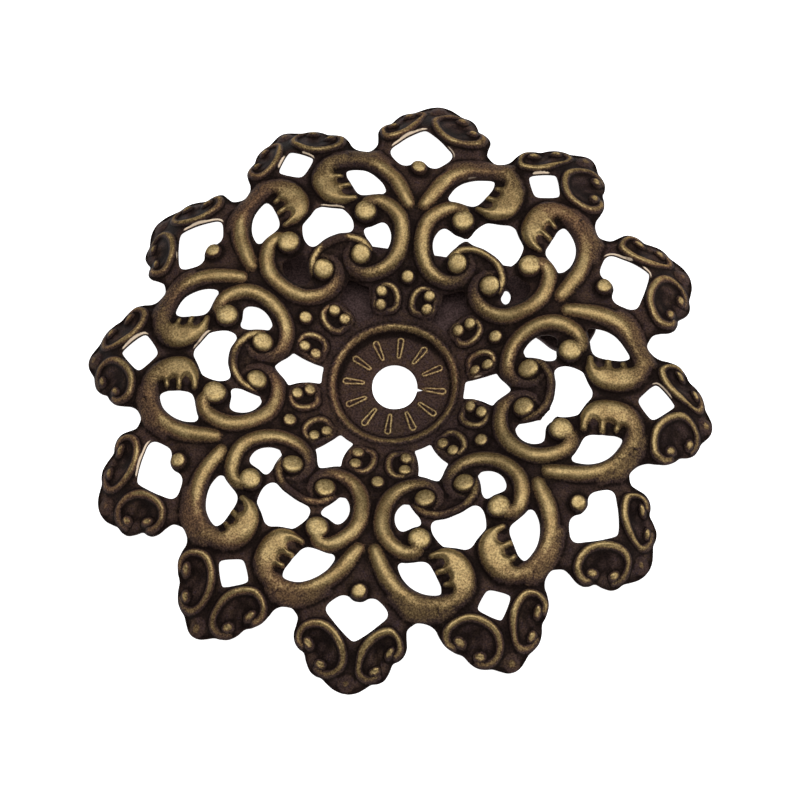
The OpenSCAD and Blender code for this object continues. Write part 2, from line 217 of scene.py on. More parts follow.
# How each petal is bent out of true. Columns: angle, shift outward at the near and far end of its
# opening and at its tip, shift sideways
BENT_R = (19.5, 22.8, 26.3, 30.2)
PETALS_BENT = [
    (0, 0.36, 0.47, 0.29, 0.09), (30, 0.18, 0.30, 0.19, 0.12), (60, 0.10, 0.00, 0.45, 0.27),
    (90, -0.02, 0.14, 0.25, 0.38), (120, 0.00, 0.00, -0.15, 0.18), (150, -0.08, -0.33, -0.55, 0.15),
    (180, -0.26, -0.11, -0.15, 0.17), (210, -0.08, -0.20, 0.00, 0.07),
    (240, -0.22, -0.30, 0.20, 0.00), (270, -0.08, 0.02, -0.12, -0.15), (300, 0.08, 0.00, -0.06, 0.03),
    (330, 0.02, 0.06, -0.22, -0.03),
]
# Other places that are out of true. Columns: r, angle, shift outward, shift sideways
PLACES_BENT = [
    (20.3, 345, 0.53, 0.10), (20.5, 15, 0.05, -0.33), (20.5, 45, 0.08, -0.14), (20.4, 75, 0.0, 0.14),
    (20.4, 225, -0.18, 0.10), (14.5, 197, -0.30, -0.04), (14.5, 222, 0.06, -0.20),
    (14.4, 317, 0.04, 0.15), (17.0, 180, 0.33, -0.34), (16.9, 240, -0.33, -0.47),
    (9.1, 0, -0.50, 0.17), (9.1, 240, 0.12, -0.26), (9.0, 300, 0.19, 0.0), (17.0, 120, 0.15, -0.12),
    (16.8, 300, -0.11, -0.13), (20.4, 195, 0.05, -0.17), (9.1, 180, -0.06, -0.12),
]
# The outer edge is twisted against the openings. Columns: angle, shift outward, shift sideways
EDGE_BENT = [
    (0, -0.03, -0.79), (15, -0.19, -0.80), (30, -0.12, -0.67), (45, -0.12, -0.85),
    (60, 0.14, -0.84), (75, -0.12, -0.93), (90, -0.19, -0.88), (105, -0.51, -0.68),
    (120, -0.23, -0.32), (135, -0.46, -0.19), (150, -0.28, -0.10), (165, -0.49, 0.09),
    (180, -0.12, 0.16), (195, -0.20, 0.37), (210, -0.14, 0.04), (225, 0.21, 0.02),
    (240, 0.31, -0.09), (255, 0.24, 0.02), (270, -0.09, -0.40), (285, 0.16, -0.70),
    (300, 0.14, -0.48), (315, 0.10, -0.39), (330, -0.17, -0.48), (345, -0.01, -0.86),
    (360, -0.03, -0.79),
]
# Openings that came out larger or smaller. Columns: opening, how many times its size
OPENING_SIZES = [
    ("inner0", 1.10), ("inner3", 1.10), ("scroll0+", 1.09), ("leaf4+", 1.09), ("leaf4-", 1.04),
    ("leaf2-", 0.93), ("leaf2+", 0.965), ("leaf3-", 0.96), ("leaf0+", 0.96), ("leaf5-", 0.97),
    ("kite3", 1.05), ("kite4", 0.94), ("kite5", 0.92), ("heart4", 0.955), ("scroll4+", 0.96),
    ("scroll5-", 0.96), ("middle2", 0.96),
]
# Cut walls with a painted highlight, where they catch the light. Columns: opening, from angle, to angle round its
# middle, strength
LIT_WALLS = [
    ("heart0", 22, 50, 0.7), ("heart0", 80, 130, 1.0), ("heart1", 88, 176, 1.0), ("heart1", -8, 16, 0.4),
    ("heart2", 52, 140, 1.0), ("heart2", 205, 225, 0.4), ("heart3", 116, 196, 0.9),
    ("kite0", 25, 105, 0.5), ("kite1", 82, 140, 1.0), ("kite2", 25, 75, 0.6), ("kite2", 146, 198, 0.9),
    ("kite3", 80, 170, 1.0), ("middle2", 52, 112, 0.6), ("middle3", 112, 170, 0.8),
    ("inner0", 110, 140, 0.4), ("leaf1+", 80, 110, 0.3), ("scroll4-", -10, 20, 0.4),
]

UP_DARK, UP_BRIGHT = 0.26, 0.66  # upward part of the normal where the wear and the painted light from above start and are full
PETAL_ROLL, PETAL_HOLLOW, WEB_HOLLOW = 0.30, 0.30, 0.16  # how much lower those lie

FINE = 0.100  # finest plan spacing of the mesh
POINTS = 66000  # inner points of the upper face
LOOP = 0.18  # spacing along a cut edge


# ---------------------------------------------------------------------------------------------
# Curves
# ---------------------------------------------------------------------------------------------


def spline(rows, closed, step):
    """A smooth curve through the rows, at an even spacing. Further columns are carried along."""
    p = np.array(rows, float)
    n = len(p)
    t = (np.arange(10) / 10)[:, None]
    out = []
    for i in range(n if closed else n - 1):
        a = p[(i - 1) % n] if closed else p[max(i - 1, 0)]
        b, c = p[i], p[(i + 1) % n]
        d = p[(i + 2) % n] if closed else p[min(i + 2, n - 1)]
        out.append(
            0.5
            * (
                2 * b
                + (c - a) * t
                + (2 * a - 5 * b + 4 * c - d) * t**2
                + (3 * b - a - 3 * c + d) * t**3
            )
        )
    curve = np.vstack(out + [p[:1] if closed else p[-1:]])
    s = np.r_[0, np.cumsum(np.hypot(*np.diff(curve[:, :2], axis=0).T))]
    m = max(4, int(round(s[-1] / step)))
    q = np.linspace(0, s[-1], m + 1)
    q = q[:-1] if closed else q
    return np.stack([np.interp(q, s, curve[:, k]) for k in range(p.shape[1])], 1)


def turned(p, degrees):
    a = math.radians(degrees)
    m = np.array([[math.cos(a), math.sin(a)], [-math.sin(a), math.cos(a)]])
    return np.asarray(p, float)[:, :2] @ m


def flipped(p):
    return np.asarray(p, float)[::-1] * (1, -1)


def mirrored_loop(rows):
    rows = np.array(rows, float)
    return np.vstack([rows, flipped(rows[1:-1])])


def anticlockwise(p):
    x, y = p[:, 0], p[:, 1]
    area = np.sum(x * np.roll(y, -1) - np.roll(x, -1) * y)
    return p if area > 0 else p[::-1]


def inside(p, loop):
    """Which points of p are inside the closed loop."""
    out = np.zeros(len(p), bool)
    box = np.all((p >= loop.min(0)) & (p <= loop.max(0)), 1)
    x, y = p[box].T
    odd = np.zeros(len(x), bool)
    for (x0, y0), (x1, y1) in zip(loop, np.roll(loop, -1, 0)):
        if y0 != y1:
            odd ^= ((y0 > y) != (y1 > y)) & (x < (x1 - x0) * (y - y0) / (y1 - y0) + x0)
    out[box] = odd
    return out


def path_distance(p, rows):
    """Distance to an open path of straight pieces."""
    best = np.full(len(p), 1e9)
    for a, b in zip(rows[:-1], rows[1:]):
        ab = b - a
        t = np.clip(((p - a) @ ab) / max(ab @ ab, 1e-12), 0, 1)
        d = p - a - t[:, None] * ab
        best = np.minimum(best, d[:, 0] ** 2 + d[:, 1] ** 2)
    return np.sqrt(best)


def ease(a, b, x):
    t = np.clip((x - a) / (b - a), 0, 1)
    return t * t * (3 - 2 * t)


def lattice_noise(x, y, size, seed):
    """Smooth noise from -1 to 1 over cells of that size."""
    table = np.random.RandomState(seed).uniform(-1, 1, (64, 64))
    u, v = x / size + 31.7, y / size + 17.3
    i, j = np.floor(u).astype(int), np.floor(v).astype(int)
    fu, fv = ease(0, 1, u - i), ease(0, 1, v - j)
    g = lambda a, b: table[a % 64, b % 64]
    return (g(i, j) * (1 - fu) + g(i + 1, j) * fu) * (1 - fv) + (
        g(i, j + 1) * (1 - fu) + g(i + 1, j + 1) * fu
    ) * fv


dish_r = spline(DISH, False, 0.05)


def dish_z(r):
    return np.interp(r, dish_r[:, 0], dish_r[:, 1])


# ---------------------------------------------------------------------------------------------
# Relief of the half unit, worked out once on a fine raster of the plan
# ---------------------------------------------------------------------------------------------

CELL = 0.04
X0, X1, Y0, Y1 = 0.0, 32.0, -1.6, 17.6


def fold(x, y):
    """The place in the half unit that a point of the whole pattern copies."""
    r, a = np.hypot(x, y), np.arctan2(y, x)
    a = np.abs((a + THIRTY) % (2 * THIRTY) - THIRTY)
    return r * np.cos(a), r * np.sin(a)


def to_between(x, y):
    """The same place measured along the line between two units."""
    c, s = math.cos(THIRTY), math.sin(THIRTY)
    return x * c + y * s, x * s - y * c


class Relief:
    def __init__(self, x, y):
        self.x, self.y = x, y
        self.h = np.zeros_like(x)
        self.base = np.zeros_like(x)
        self.worn = np.zeros_like(x)
        self.cap = np.zeros_like(x)

    def start(self, base):
        self.base = base
        self.h = base.copy()

    def add(self, near, h, worn, cap=0.0, soft=0.05):
        """Raises the surface to h over its base, blended in over a soft width."""
        old = self.h[near]
        h = np.where(h > -0.5, self.base[near] + h, -9.0)
        k = soft
        self.h[near] = 0.5 * (old + h + np.sqrt((old - h) ** 2 + k * k * np.exp(-np.abs(old - h) / k)))
        over = ease(-0.05, 0.09, h - old)
        self.worn[near] = self.worn[near] * (1 - over) + worn * over
        self.cap[near] = self.cap[near] * (1 - over) + cap * worn * over

    def line(self, rows, x=None, y=None, power=0.80, skirt=0.32, fade=0.22, cap=0.0, soft=0.06):
        """A raised line: rounded top, falling to its foot, with a low broad skirt."""
        x = self.x if x is None else x
        y = self.y if y is None else y
        c = spline(rows, False, 0.16)
        w = c[:, 2].max() + 0.6
        near = (
            (x > c[:, 0].min() - w)
            & (x < c[:, 0].max() + w)
            & (y > c[:, 1].min() - w)
            & (y < c[:, 1].max() + w)
        )
        p = np.stack([x[near], y[near]], 1)
        best = np.full(len(p), 1e9)
        w, b, h, wear = (np.zeros(len(p)) for _ in range(4))
        for s, e in zip(c[:-1], c[1:]):
            ab = e[:2] - s[:2]
            t = np.clip(((p - s[:2]) @ ab) / max(ab @ ab, 1e-12), 0, 1)
            d = p - s[:2] - t[:, None] * ab
            d = np.hypot(d[:, 0], d[:, 1])
            closer = d < best
            best = np.where(closer, d, best)
            for k, col in ((2, w), (3, b), (4, h), (5, wear)):
                col[closer] = (s[k] + t * (e[k] - s[k]))[closer]
        q = 1 - (best / w) ** 2
        height = h * np.where(q > 0, np.abs(q) ** power, 2.5 * q)
        if skirt:
            height = np.maximum(height, skirt * h * (1 - (best / (w + 0.42)) ** 2))
        worn = wear * np.exp(-((best / (b + fade)) ** 3.2))
        self.add(near, height, worn, cap, soft)
        return near, worn

    def bead(self, row, x=None, y=None, cap=1.0, flat=6.5, soft=0.04):
        x = self.x if x is None else x
        y = self.y if y is None else y
        bx, by, w, b, h, wear = row
        d = np.hypot(x - bx, y - by)
        near = d < w + 0.25
        d = d[near]
        q = 1 - (d / w) ** flat
        height = h * np.where(q > 0, np.abs(q) ** 0.6, 2.5 * q)
        worn = wear * (1 - ease(b - 0.12, b + 0.13, d))
        self.add(near, height, worn, cap, soft)


def make_relief():
    gx, gy = np.meshgrid(
        np.arange(X0, X1, CELL) + CELL / 2, np.arange(Y0, Y1, CELL) + CELL / 2
    )
    x, y = fold(gx, gy)
    bx, by = to_between(x, y)
    r = np.hypot(x, y)
    f = Relief(x, y)
    # the petals are hollow inside their scrolls and roll down at the outer edge
    base = np.zeros_like(x)
    half = np.vstack([np.array(EDGE_MIDDLE), turned(np.array(EDGE_BETWEEN) * (1, -1), 30)])
    outer = r > 21.5
    away = path_distance(np.stack([x[outer], y[outer]], 1), spline(half, False, 0.3))
    base[outer] -= PETAL_ROLL * (1 - ease(0.0, 0.85, away)) * ease(22.5, 25.0, r[outer])
    for px, py in ((x, y), (bx, by)):
        q = np.hypot((px - 26.85) / 1.35, (np.abs(py) - 2.85) / 1.35)
        base -= PETAL_HOLLOW * (1 - ease(0.35, 1.0, q))
    q = np.hypot((x - 13.75) / 1.15, y / 1.9)
    base -= WEB_HOLLOW * (1 - ease(0.4, 1.0, q))
    f.start(base)

    # leaf: a broad body whose inner side is cut into teeth
    near = (x > 17) & (x < 25) & (y < 5.2)
    p = np.stack([x[near], y[near]], 1)
    out_line, in_line = spline(LEAF_OUT[1:], False, 0.2), spline(LEAF_IN, False, 0.08)
    signed = np.where(inside(p, np.vstack([out_line, in_line])), 1, -1)
    d_out, d_in = signed * path_distance(p, out_line), signed * path_distance(p, in_line)
    full = 1 - (1 - np.clip(d_out / 0.90, 0, 1)) ** 2.4
    brow = 1 - (1 - np.clip(d_in / 0.55, 0, 1)) ** 2
    body = 0.82 * np.where(signed > 0, full * brow, np.maximum(d_out, d_in) * 1.2)
    # between the teeth the leaf falls away gently
    slope = 0.62 * (1 - ease(2.2, 4.0, p[:, 1] + 0.12 * (p[:, 0] - 20)))
    floor = slope * np.clip(path_distance(p, out_line) / 0.9, 0, 1)
    hull = inside(p, np.vstack([out_line, [LEAF_IN[0], (20.0, 4.3), LEAF_IN[-1]]]))
    body = np.where(hull, np.maximum(body, floor), body)
    worn = ease(0.00, 0.34 + 0.50 * ease(21.6, 23.4, p[:, 0]), d_out) * ease(-0.10, 0.26, d_in)
    worn *= 0.76 + 0.26 * (1 - ease(18.6, 20.2, p[:, 0])) - 0.16 * ease(20.8, 22.8, p[:, 0])
    f.add(near, body, worn, 0.3 * (1 - ease(18.4, 20.0, p[:, 0])), 0.08)

    f.line(SHOULDER, skirt=0.0, fade=0.36)
    f.line(SWEEP)
    teeth = [f.line(rows, skirt=0.0, fade=0.12, cap=0.4, soft=0.08) for rows in TEETH]
    f.line(SCROLL)
    f.line(OVAL_LOW, skirt=0.0, fade=0.13)
    f.line(OVAL, skirt=0.0, fade=0.13, cap=0.35)
    f.line(WEB, skirt=0.0, fade=0.12, cap=0.4)
    for row in BEADS:
        f.bead(row)
    for row in LINE_BEADS:
        f.bead(row, bx, by)
    for px, py, inward, narrow in ((x, y, 0.20, 0.95), (bx, by, 0.0, 1.0)):
        # each kind of petal uses the same motif beside its own line
        mine = (np.abs(np.arctan2(py, px)) < math.radians(15.2)) & (r > 23.0)
        ux, uy = np.where(mine, px + inward, -99.0), np.abs(py) / narrow
        f.line(PETAL, ux, uy, skirt=0.22, fade=0.12, cap=0.45, soft=0.05)
        for rows in PETAL_ENDS:
            f.line(rows, ux, uy, skirt=0.0, fade=0.12, cap=0.9, soft=0.05)
        f.bead((*PETAL_TIP, 0.6), ux, uy, cap=0.0, flat=2.0, soft=0.10)

    # round ridge and ribs of the sunk disc
    d = np.abs(r - RING[0])
    near = d < RING[1] + 0.2
    f.add(
        near,
        RING[3] * (1 - (d[near] / RING[1]) ** 2),
        RING[4] * (1 - ease(RING[2] - 0.06, RING[2] + 0.26, d[near])),
        0.0,
        0.06,
    )
    for px, py in ((x, y), (bx, by)):
        near = (px > 2.6) & (px < 5.3) & (np.abs(py) < 0.6)
        u = np.clip(px[near], RIB[0], RIB[1])
        half = RIB[2] + (RIB[3] - RIB[2]) * (u - RIB[0]) / (RIB[1] - RIB[0])
        d = np.hypot(px[near] - u, py[near])
        line = np.exp(-(((d - half) / 0.09) ** 2))
        fill = 1 - ease(half - 0.05, half + 0.08, d)
        f.add(near, 0.13 * line + 0.04 * fill, np.maximum(0.92 * line, 0.12 * fill), 0.2, 0.04)

    # wear, with painted light from above: only what faces upward is made bright
    z = 0.35 * dish_z(np.hypot(gx, gy)) + f.h
    gzy, gzx = np.gradient(z, CELL)
    upward = 1 / np.sqrt(1 + gzx**2 + gzy**2)
    f.worn *= ease(UP_DARK, UP_BRIGHT, upward)
    for near, worn in teeth:
        f.worn[near] = np.maximum(f.worn[near], worn)

    # how far a place lies under what stands round it, which darkens it: darker patina and painted shade in the hollows
    fy = np.fft.fftfreq(f.h.shape[0], CELL)[:, None]
    fx = np.fft.rfftfreq(f.h.shape[1], CELL)[None, :]
    low = np.zeros_like(x)
    for spread, depth in ((0.14, 0.050), (0.42, 0.20)):
        blur = np.exp(-2 * (math.pi * spread) ** 2 * (fx**2 + fy**2))
        around = np.fft.irfft2(np.fft.rfft2(f.h) * blur, s=f.h.shape)
        low = np.maximum(low, np.clip((around - f.h) / depth, 0, 1))

    # how sharply the surface or its wear turns, taken at its highest near by
    turn = np.zeros_like(x)
    for a, weight in ((f.h, 1.0), (f.worn, 0.10)):
        for axis in (0, 1):
            bend = np.roll(a, 2, axis) + np.roll(a, -2, axis) - 2 * a
            turn = np.maximum(turn, weight * np.abs(bend) / (2 * CELL) ** 2)
    for axis in (0, 1):
        turn = np.maximum(turn, np.maximum(np.roll(turn, 2, axis), np.roll(turn, -2, axis)))
    return {"h": f.h, "worn": f.worn, "cap": f.cap, "low": low, "turn": turn}


RASTER = make_relief()


def sample(name, x, y):
    """The raster's value at points of the whole pattern."""
    fx, fy = fold(x, y)
    u, v = (fx - X0) / CELL - 0.5, (fy - Y0) / CELL - 0.5
    a = RASTER[name]
    i = np.clip(np.floor(v).astype(int), 0, a.shape[0] - 2)
    j = np.clip(np.floor(u).astype(int), 0, a.shape[1] - 2)
    s, t = np.clip(v - i, 0, 1), np.clip(u - j, 0, 1)
    return (a[i, j] * (1 - t) + a[i, j + 1] * t) * (1 - s) + (
        a[i + 1, j] * (1 - t) + a[i + 1, j + 1] * t
    ) * s


# ---------------------------------------------------------------------------------------------
# Cut edges of the whole flower
# ---------------------------------------------------------------------------------------------


def all_loops(step):
    half = np.vstack([np.array(EDGE_MIDDLE), turned(np.array(EDGE_BETWEEN) * (1, -1), 30)])
    sector = np.vstack([flipped(half[1:-1]), half[:-1]])
    edge = np.vstack([turned(np.vstack([sector, half[-1:]]), 60 * k) for k in range(UNITS)])
    loops = {"edge": anticlockwise(spline(edge, True, step))}
    n = max(24, int(2 * math.pi * HOLE_R / step))
    a = np.arange(n) * 2 * math.pi / n + math.radians(NICK[0])
    r = HOLE_R + HOLE_LONG[1] * np.cos(a - math.radians(HOLE_LONG[0])) ** 2
    r[0] += NICK[1]
    loops["centre"] = r[:, None] * np.stack([np.cos(a), np.sin(a)], 1)
    for k in range(UNITS):
        for name, rows in (("inner", HOLE_INNER), ("middle", HOLE_MIDDLE), ("kite", HOLE_KITE)):
            loop = spline(mirrored_loop(rows), True, step)
            loops[f"{name}{k}"] = anticlockwise(turned(loop, 60 * k))
        loop = spline(mirrored_loop(HOLE_HEART), True, step)
        loops[f"heart{k}"] = anticlockwise(turned(loop, 60 * k + 30))
        for name, rows in (("scroll", HOLE_SCROLL), ("leaf", HOLE_LEAF)):
            loop = spline(rows, True, step)
            loops[f"{name}{k}+"] = anticlockwise(turned(loop, 60 * k))
            loops[f"{name}{k}-"] = anticlockwise(turned(flipped(loop), 60 * k))
    for name, size in OPENING_SIZES:
        loops[name] = loops[name].mean(0) + size * (loops[name] - loops[name].mean(0))
    return loops


def join(loops, a, b, at, width, torn, seed):
    """Breaks the bridge between two openings at a point: both are drawn out to it and joined."""
    at = np.array(at, float)
    parts = []
    for name in (a, b):
        p = loops.pop(name)
        i = int(np.argmin(np.hypot(*(p - at).T)))
        p = np.roll(p, -i, 0)
        if not torn:
            w = np.exp(-((np.hypot(*(p - p[0]).T) / 0.34) ** 2))
            p = p + 0.94 * w[:, None] * (at - p[0])
        gone = np.hypot(*(p - at).T) < width / 2 if not torn else np.hypot(*(p - p[0]).T) < width / 2
        gone[0] = True
        first = np.argmax(~gone)
        last = len(p) - np.argmax(~gone[::-1])
        parts.append(p[first:last])
    rng = np.random.RandomState(seed)
    out = []
    for p, q in ((parts[0], parts[1]), (parts[1], parts[0])):
        gap = q[0] - p[-1]
        n = max(2, int(np.hypot(*gap) / LOOP))
        t = (np.arange(1, n) / n)[:, None]
        side = np.array([-gap[1], gap[0]]) / max(np.hypot(*gap), 1e-9)
        out += [p, p[-1] + t * gap + torn * rng.uniform(-1, 1, (n - 1, 1)) * side]
    loops[a + b] = np.vstack(out)


# ---------------------------------------------------------------------------------------------
# Triangulation
# ---------------------------------------------------------------------------------------------


def lattice(step, reach):
    n = int(1.7 * reach / step) + 2
    i, j = np.meshgrid(np.arange(-n, n + 1), np.arange(-n, n + 1))
    x = (i + 0.5 * j) * step
    y = j * step * math.sqrt(3) / 2
    keep = np.hypot(x, y) < reach
    return x[keep], y[keep], i[keep], j[keep]


def triangulate(loops, points):
    """Triangles of the metal between the loops, with the points in it. Loop points come first."""
    ring = [np.asarray(p) for p in loops.values()]
    verts = np.vstack(ring + [points])
    edges, at = [], 0
    for p in ring:
        n = len(p)
        edges += [(at + i, at + (i + 1) % n) for i in range(n)]
        at += n
    made = geometry.delaunay_2d_cdt(
        [Vector((float(a), float(b))) for a, b in verts], edges, [], 0, 1e-7, True
    )
    out = np.array([(v.x, v.y) for v in made[0]])
    old = [min(o) if len(o) else -1 for o in made[3]]
    if len(out) != len(verts) or old != list(range(len(verts))):
        raise RuntimeError("the cut edges cross or repeat a point")
    tri = np.array([list(t) for t in made[2]], int)
    a, b, c = (out[tri[:, k]] for k in range(3))
    turn = (b[:, 0] - a[:, 0]) * (c[:, 1] - a[:, 1]) - (b[:, 1] - a[:, 1]) * (c[:, 0] - a[:, 0])
    tri[turn < 0] = tri[turn < 0][:, ::-1]
    # the metal is what can be reached without crossing a cut edge
    n = len(verts)
    sides = np.concatenate([tri[:, [0, 1]], tri[:, [1, 2]], tri[:, [2, 0]]])
    owner = np.tile(np.arange(len(tri)), 3)
    key = sides.min(1) * n + sides.max(1)
    walls = np.array([min(e) * n + max(e) for e in edges])
    free = ~np.isin(key, walls)
    order = np.argsort(key[free], kind="stable")
    k, o = key[free][order], owner[free][order]
    same = np.nonzero(k[1:] == k[:-1])[0]
    parent = list(range(len(tri)))

    def root(i):
        while parent[i] != i:
            parent[i] = parent[parent[i]]
            i = parent[i]
        return i

    for i in same:
        p, q = root(int(o[i])), root(int(o[i + 1]))
        if p != q:
            parent[p] = q
    label = np.array([root(i) for i in range(len(tri))])
    names, counts = np.unique(label, return_counts=True)
    return verts, tri[label == names[np.argmax(counts)]], edges


def in_metal(x, y, loops, gap):
    """Which points lie in the metal, at least a gap away from every cut edge."""
    p = np.stack([x, y], 1)
    keep = inside(p, loops["edge"])
    for name, loop in loops.items():
        if name != "edge":
            keep[keep] = ~inside(p[keep], loop)
    every = np.vstack(list(loops.values()))
    tree = kdtree.KDTree(len(every))
    for i, (a, b) in enumerate(every):
        tree.insert((a, b, 0), i)
    tree.balance()
    far = np.array([tree.find((a, b, 0))[2] for a, b in p[keep]])
    ok = far > gap
    index = np.nonzero(keep)[0][ok]
    return index, far[ok]


def build(loops, step, choose, top_z, low_z, coarse, inset=0.0, second=None):
    """A closed sheet between the loops: fine upper face, coarser lower face and cut walls."""
    reach = max(np.hypot(*loops["edge"].T)) + 0.5
    count = sum(len(p) for p in loops.values())
    out = np.zeros((count, 2))
    at = 0
    for p in loops.values():
        n = len(p)
        tangent = np.roll(p, -1, 0) - np.roll(p, 1, 0)
        tangent /= np.maximum(np.hypot(*tangent.T), 1e-9)[:, None]
        side = np.stack([tangent[:, 1], -tangent[:, 0]], 1)
        out[at : at + n] = side if at == 0 else -side
        at += n

    x, y, i, j = lattice(step, reach)
    index, far = in_metal(x, y, loops, max(0.55 * step, 1.45 * inset))
    index = index[choose(x[index], y[index], i[index], j[index])]
    points = np.stack([x[index], y[index]], 1)
    if inset:
        # a row of points just inside each cut, and a second where that is asked for
        ring = np.vstack(list(loops.values()))
        row = np.vstack([ring - inset * out, (ring - 1.8 * inset * out)[second]])
        index, far = in_metal(row[:, 0], row[:, 1], loops, 0.85 * inset)
        row = row[index]
        tree = kdtree.KDTree(len(row))
        for i, (a, b) in enumerate(row):
            tree.insert((a, b, 0), i)
        tree.balance()
        keep = np.ones(len(row), bool)
        for i, (a, b) in enumerate(row):
            if keep[i]:
                for _, k, _ in tree.find_range((a, b, 0), 0.55 * inset):
                    if k > i:
                        keep[k] = False
        points = np.vstack([row[keep], points])
    upper, tri_u, edges = triangulate(loops, points)

    x, y, i, j = lattice(coarse, reach)
    index, far = in_metal(x, y, loops, 0.5 * coarse)
    lower, tri_l, _ = triangulate(loops, np.stack([x[index], y[index]], 1))

    # three rows of points round each cut: upper corner, middle of the wall and lower corner
    ring_u = upper[:count]
    z_top = top_z(upper[:, 0], upper[:, 1])
    z_low = low_z(lower[:, 0], lower[:, 1])
    z_mid = 0.5 * z_top[:count] + 0.5 * z_low[:count]
    verts = np.vstack(
        [
            np.c_[upper, z_top],
            np.c_[lower, z_low],
            np.c_[ring_u + 0.035 * out, z_mid + 0.02],
        ]
    )
    nu, nl = len(upper), len(lower)
    m = nu + nl
    faces = [tri_u, tri_l[:, ::-1] + nu]
    e = np.array(edges)
    first = len(next(iter(loops.values())))
    # the outer edge runs anticlockwise with metal on its left, the openings the other way
    e = np.where((np.arange(len(e)) < first)[:, None], e, e[:, ::-1])
    a, b = e[:, 0], e[:, 1]
    for p, q in ((m, 0), (nu, m)):
        faces.append(np.stack([p + a, p + b, q + b], 1))
        faces.append(np.stack([p + a, q + b, q + a], 1))
    return verts, np.vstack(faces), nu


def mesh_object(name, verts, faces, values):
    mesh = bpy.data.meshes.new(name)
    mesh.vertices.add(len(verts))
    mesh.vertices.foreach_set("co", (verts * MM).astype(np.float32).ravel())
    mesh.loops.add(3 * len(faces))
    mesh.loops.foreach_set("vertex_index", faces.astype(np.int32).ravel())
    mesh.polygons.add(len(faces))
    mesh.polygons.foreach_set("loop_start", (3 * np.arange(len(faces))).astype(np.int32))
    mesh.polygons.foreach_set("use_smooth", np.ones(len(faces), bool))
    mesh.update(calc_edges=True)
    mesh.validate()
    for key, value in values.items():
        layer = mesh.attributes.new(key, "FLOAT", "POINT")
        layer.data.foreach_set("value", value.astype(np.float32))
    obj = bpy.data.objects.new(name, mesh)
    bpy.context.scene.collection.objects.link(obj)
    return obj


# ---------------------------------------------------------------------------------------------
# The flower
# ---------------------------------------------------------------------------------------------

loops = all_loops(LOOP)
# two bridges of the real piece are broken
at = turned([(15.25, -2.66)], 0)[0]
join(loops, "scroll0-", "middle0", at, 0.9, 0.05, 3)
at = turned([(15.26, 2.70)], 60)[0]
join(loops, "scroll1+", "middle1", at, 0.26, 0.0, 5)


def wobble(x, y):
    """Small unevenness of the pressing, the same for both faces."""
    return (
        0.030 * lattice_noise(x, y, 2.3, 11)
        + 0.020 * lattice_noise(x, y, 0.9, 12)
        + 0.012 * lattice_noise(x, y, 0.45, 13)
    )


def nearest_cut(x, y):
    """The nearest point of the cut edges: its number and how far it is."""
    every = np.vstack(list(loops.values()))
    tree = kdtree.KDTree(len(every))
    for i, (a, b) in enumerate(every):
        tree.insert((a, b, 0), i)
    tree.balance()
    found = [tree.find((a, b, 0))[1:] for a, b in zip(x, y)]
    return np.array([f[0] for f in found]), np.array([f[1] for f in found])


# strength of the painted highlight along each cut edge
lit = []
for name, loop in loops.items():
    a = np.degrees(np.arctan2(*(loop - loop.mean(0)).T[::-1]))
    strong = np.zeros(len(loop))
    for opening, start, end, strength in LIT_WALLS:
        if opening == name:
            off = np.abs((a - (start + end) / 2 + 180) % 360 - 180)
            half = (end - start) / 2
            strong = np.maximum(strong, strength * (1 - ease(half - 6, half + 6, off)))
    lit.append(strong)
lit = np.concatenate(lit)


def top_z(x, y):
    _, near = nearest_cut(x, y)
    h = sample("h", x, y) * ease(-0.10, 0.22, near)
    return (
        dish_z(np.hypot(x, y))
        + h
        + wobble(x, y)
        - 0.07 * (1 - ease(0.0, 0.26, near))
    )


def low_z(x, y):
    r = np.hypot(x, y)
    slope = (dish_z(r + 0.2) - dish_z(r - 0.2)) / 0.4
    t = SHEET * np.sqrt(1 + slope**2)
    _, near = nearest_cut(x, y)
    h = sample("h", x, y) * ease(-0.10, 0.22, near)
    return dish_z(r) - t + 0.84 * h + wobble(x, y)


def choose(x, y, i, j):
    """Keeps one lattice point in sixteen, and of the rest those where the relief turns most."""
    turn = sample("turn", x, y)
    turn[(i % 2 == 0) & (j % 2 == 0)] *= 4
    turn[(i % 4 == 0) & (j % 4 == 0)] = 1e9
    return turn >= np.partition(turn, -POINTS)[-POINTS]


verts, faces, nu = build(loops, FINE, choose, top_z, low_z, 0.42, 0.14, lit > 0)
print("flower: triangles", len(faces))

x, y = verts[:, 0].copy(), verts[:, 1].copy()
upper = np.zeros(len(verts), bool)
upper[:nu] = True
worn = np.where(upper, sample("worn", x, y), 0.0)
unit = np.floor((np.degrees(np.arctan2(y, x)) + 30) / 60).astype(int) % UNITS
fx, fy = fold(x, y)
web = sum(
    np.exp(-((fx - row[0]) ** 2 + (fy - row[1]) ** 2) / 0.30**2)
    for row in spline(WEB, False, 0.30)
)
middle, ends = np.array(WEB_WEAR)[unit].T
worn *= 1 - np.clip(web, 0, 1) * (1 - middle - (ends - middle) * ease(0.9, 1.8, fy))
right = (np.degrees(np.arctan2(y, x)) - 60 * unit + 180) % 360 < 180
joint = np.exp(-((fx - JOINT_AT[0]) ** 2 + (fy - JOINT_AT[1]) ** 2) / 0.75**2)
worn *= 1 - joint * (1 - np.array(JOINT_WEAR)[unit, right.astype(int)])
cap = np.where(upper, sample("cap", x, y), 0.0)
# painted shade: the petals on the far side are made less bright
far_side_shade = ease(21.0, 23.5, np.hypot(x, y)) * (0.5 + 0.5 * np.cos(np.arctan2(y, x) - math.radians(140)))
worn *= 1 - 0.34 * far_side_shade
# darker patina and painted shade in the hollows; the lower face gets a fixed share
low = np.where(upper, sample("low", x, y), 0.25)
# painted shade: the sunk disc is made black along its far rim
rim_dark = np.exp(-(((np.hypot(x, y) - RING[0] + 0.58) / 0.34) ** 2))
low = np.maximum(low, rim_dark * upper * ease(-0.2, 0.7, np.cos(np.arctan2(y, x) - math.radians(115))))
